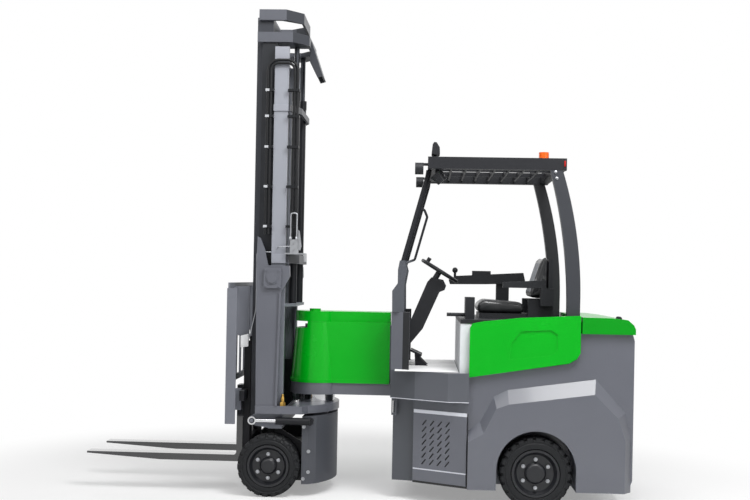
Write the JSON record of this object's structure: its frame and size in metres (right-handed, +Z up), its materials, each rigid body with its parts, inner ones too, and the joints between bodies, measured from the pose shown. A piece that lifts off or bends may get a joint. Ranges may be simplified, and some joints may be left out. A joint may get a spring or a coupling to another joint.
{
  "type": "articulated forklift",
  "caption": "Electric articulated forklift: driver's cab and battery on a rear chassis, with a front unit that steers about a vertical pivot and carries a telescopic mast and forks.",
  "frame": {"origin": "floor level, below the middle of the overall box", "axes": "+X to the rear, forks towards -X, left side at -Y, +Z up"},
  "size_m": [3.566, 1.25, 3.208],
  "materials": {
    "green_paint": "gloss powder coat",
    "slate_paint": "satin powder coat",
    "black_paint": "satin powder coat",
    "grey_paint": "satin powder coat",
    "cast_block": "painted casting",
    "chrome_rod": "ground and hard chromed",
    "rubber": "moulded",
    "rim_paint": "satin powder coat",
    "black_plastic": "moulded",
    "seat_vinyl": "soft vinyl",
    "lamp_orange": "clear moulded",
    "hose_rubber": "moulded",
    "zinc_plate": "plated",
    "chain_steel": "oiled",
    "battery_case": "moulded"
  },
  "bodies": {
    "rear_chassis": {"rear_body": "slate_paint", "counterweight": "cast_block", "drawbar_pin": "zinc_plate", "battery": "battery_case", "side_panels": "green_paint", "rear_cap": "green_paint", "cab_tub": "slate_paint", "cowl": "slate_paint", "seat_box": "grey_paint", "seat_deck": "slate_paint", "front_posts": "black_paint", "rear_posts": "black_paint", "guard_roof": "black_paint", "steering_column": "black_plastic", "steering_wheel": "black_plastic", "pedals": "black_paint", "seat_base": "black_plastic", "seat_cushion": "seat_vinyl", "seat_back": "seat_vinyl", "seat_controls": "black_plastic", "beacon": "lamp_orange", "roof_mirror": "black_plastic", "work_lamps": "black_plastic", "grille_panels": "slate_paint", "rear_axle": "black_paint", "pivot_arm": "slate_paint", "arm_cover": "green_paint", "arm_lid": "green_paint"},
    "rear_left_wheel": {"rear_left_tyre": "rubber", "rear_left_rim": "rim_paint"},
    "rear_right_wheel": {"rear_right_tyre": "rubber", "rear_right_rim": "rim_paint"},
    "front_unit": {"front_plate": "black_paint", "pivot_shaft": "chrome_rod", "mast_cradle": "slate_paint", "drive_housing": "black_paint", "drive_axle": "black_paint", "tilt_barrels": "black_paint"},
    "front_left_wheel": {"front_left_tyre": "rubber", "front_left_rim": "rim_paint"},
    "front_right_wheel": {"front_right_tyre": "rubber", "front_right_rim": "rim_paint"},
    "tilt_rod_pair": {"tilt_rods": "chrome_rod"},
    "mast_outer": {"outer_mast": "black_paint", "lift_barrels": "black_paint", "mast_hoses": "hose_rubber", "hose_clips": "zinc_plate", "lift_valve": "zinc_plate"},
    "mast_middle": {"mid_mast": "black_paint", "lift_rods": "chrome_rod"},
    "mast_inner": {"inner_mast": "black_paint", "free_lift_barrel": "black_paint"},
    "free_lift": {"free_lift_head": "chrome_rod", "lift_chains": "chain_steel"},
    "fork_carriage": {"carriage": "black_paint", "load_backrest": "grey_paint", "forks": "black_paint"}
  },
  "joints": [
    {"name": "steer", "type": "hinge", "parent": "rear_chassis", "child": "front_unit", "pos_m": [-0.272, 0, 0.6245], "axis": [0, 0, 1], "range_deg": [-90, 90]},
    {"name": "mast_tilt", "type": "hinge", "parent": "front_unit", "child": "mast_outer", "pos_m": [-0.538, 0, 1.43], "axis": [0, 1, 0], "range_deg": [-3, 3.5]},
    {"name": "tilt_rod_slide", "type": "slide", "parent": "front_unit", "child": "tilt_rod_pair", "axis": [1, 0, 0], "range_m": [-0.06, 0.052]},
    {"name": "mast_lift", "type": "slide", "parent": "mast_outer", "child": "mast_middle", "axis": [0, 0, 1], "range_m": [0, 1.3]},
    {"name": "inner_lift", "type": "slide", "parent": "mast_middle", "child": "mast_inner", "axis": [0, 0, 1], "range_m": [0, 1.3]},
    {"name": "carriage_lift", "type": "slide", "parent": "mast_inner", "child": "fork_carriage", "axis": [0, 0, 1], "range_m": [-0.14, 1.9]},
    {"name": "free_lift_slide", "type": "slide", "parent": "mast_inner", "child": "free_lift", "axis": [0, 0, 1], "range_m": [-0.07, 0.95], "deforming": ["lift_chains"]},
    {"name": "rear_left_roll", "type": "hinge", "parent": "rear_chassis", "child": "rear_left_wheel", "pos_m": [1.174, 0, 0.2285], "axis": [0, 1, 0], "continuous": true},
    {"name": "rear_right_roll", "type": "hinge", "parent": "rear_chassis", "child": "rear_right_wheel", "pos_m": [1.174, 0, 0.2285], "axis": [0, 1, 0], "continuous": true},
    {"name": "front_left_roll", "type": "hinge", "parent": "front_unit", "child": "front_left_wheel", "pos_m": [-0.545, 0, 0.2035], "axis": [0, 1, 0], "continuous": true},
    {"name": "front_right_roll", "type": "hinge", "parent": "front_unit", "child": "front_right_wheel", "pos_m": [-0.545, 0, 0.2035], "axis": [0, 1, 0], "continuous": true}
  ],
  "couplings": [
    {"joint": "tilt_rod_slide", "follows": "mast_tilt", "m_per_rad": -0.932},
    {"joint": "inner_lift", "follows": "mast_lift", "ratio": 1},
    {"joint": "free_lift_slide", "follows": "carriage_lift", "ratio": 0.5}
  ]
}
